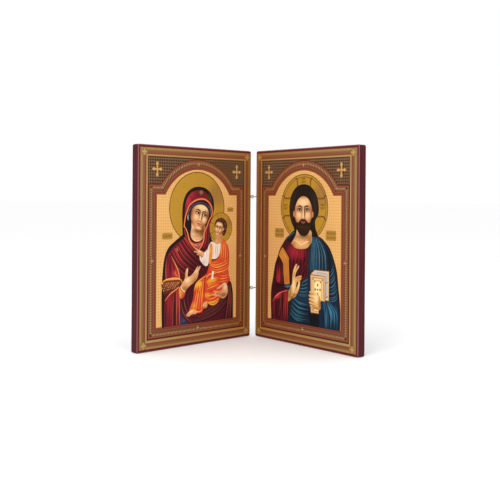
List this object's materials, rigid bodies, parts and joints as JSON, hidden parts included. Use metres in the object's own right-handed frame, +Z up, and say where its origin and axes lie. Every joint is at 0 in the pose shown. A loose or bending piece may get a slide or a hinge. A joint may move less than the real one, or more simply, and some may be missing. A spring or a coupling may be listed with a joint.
{
  "type": "diptych icon",
  "caption": "Small folding icon: lacquered boards with printed gold-foil pictures, hinged edge to edge by linked eye pins, standing open like a book.",
  "frame": {"origin": "middle of the footprint's bounding box, on the surface that the boards stand on", "axes": "+Z up; +X to the right of someone facing the pictures; -Y towards that person, who looks into the open side; the hinge is at the back, at +Y"},
  "size_m": [0.1778, 0.0928, 0.16],
  "materials": {
    "lacquered_board": "burgundy lacquer, satin",
    "foil_print": "colour print on embossed gold foil, semi-gloss",
    "eye_pin_brass": "bright, slightly dulled"
  },
  "bodies": {
    "left_leaf": {"left_panel": "lacquered_board", "left_print": "foil_print", "left_upper_eye_pin": "eye_pin_brass", "left_lower_eye_pin": "eye_pin_brass"},
    "right_leaf": {"right_panel": "lacquered_board", "right_print": "foil_print", "right_upper_eye_pin": "eye_pin_brass", "right_lower_eye_pin": "eye_pin_brass"}
  },
  "joints": [
    {"name": "fold", "type": "hinge", "parent": "left_leaf", "child": "right_leaf", "pos_m": [0, 0.04249, 0], "axis": [0, 0, 1], "range_deg": [-85.4, 118]}
  ]
}
